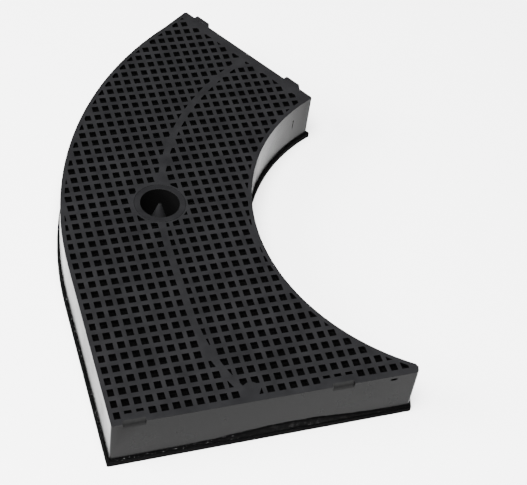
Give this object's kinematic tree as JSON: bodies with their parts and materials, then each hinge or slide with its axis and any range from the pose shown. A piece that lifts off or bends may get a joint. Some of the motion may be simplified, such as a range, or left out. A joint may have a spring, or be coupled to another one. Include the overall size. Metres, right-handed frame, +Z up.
{
  "type": "cooker hood carbon filter cassette",
  "caption": "Crescent-shaped black filter cassette with a rectangular-hole grille on each face, a round well for its fixing and hook tabs on one slanted end.",
  "frame": {"origin": "bottom centre of the bounding box: the middle of the cassette's plan, in the plane of the back cover that it rests on", "axes": "+X across the crescent towards the blower that it wraps round, +Y along its length towards the slanted end with the hook tabs, +Z up, out of the grille face"},
  "size_m": [0.1752, 0.309, 0.032],
  "materials": {
    "tray_plastic": "fine moulded texture, satin side walls",
    "cup_plastic": "satin moulded",
    "cover_plastic": "satin moulded",
    "sealant": "glossy hot-melt bead, slightly uneven",
    "fleece": "matted non-woven fibre",
    "carbon": "loose dull granules"
  },
  "bodies": {
    "root": {"tray": "tray_plastic", "fixing_cup": "cup_plastic", "back_cover": "cover_plastic", "sealing_bead": "sealant", "back_fleece": "fleece", "pad_outer_far": "fleece", "pad_outer_near": "fleece", "pad_inner_far": "fleece", "pad_inner_near": "fleece", "carbon_outer_far": "carbon", "carbon_outer_near": "carbon", "carbon_inner_far": "carbon", "carbon_inner_near": "carbon"}
  },
  "joints": []
}
